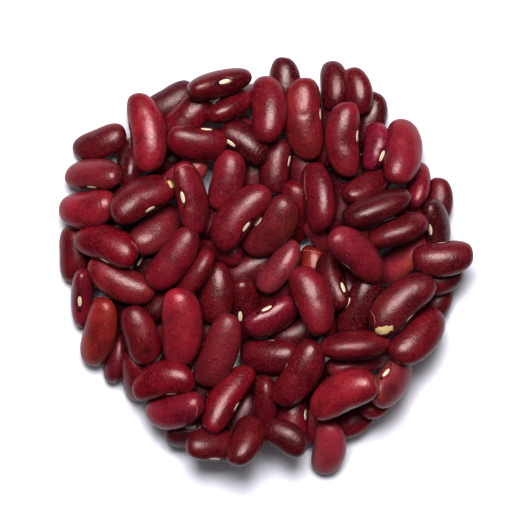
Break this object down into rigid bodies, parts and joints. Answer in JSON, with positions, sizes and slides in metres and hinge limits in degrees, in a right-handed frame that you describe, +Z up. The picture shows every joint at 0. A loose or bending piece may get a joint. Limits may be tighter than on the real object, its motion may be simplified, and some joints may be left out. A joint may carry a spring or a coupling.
{
  "type": "heap of dried red kidney beans",
  "caption": "A loose low heap of dried red kidney beans, crimson to maroon and satin smooth, with cream seed scars, lying on a flat surface",
  "frame": {"origin": "on the surface that the heap lies on, under the middle of the heap", "axes": "+Z up, +X to the right and +Y to the top in the view from straight above"},
  "size_m": [0.104, 0.1049, 0.0212],
  "materials": {
    "bean_skin": "satin, finely speckled dark red seed coat",
    "seed_scar": "matte cream",
    "bare_seed": "matte beige where the coat is chipped"
  },
  "bodies": {
    "root": {"beans": "bean_skin"}
  },
  "joints": []
}
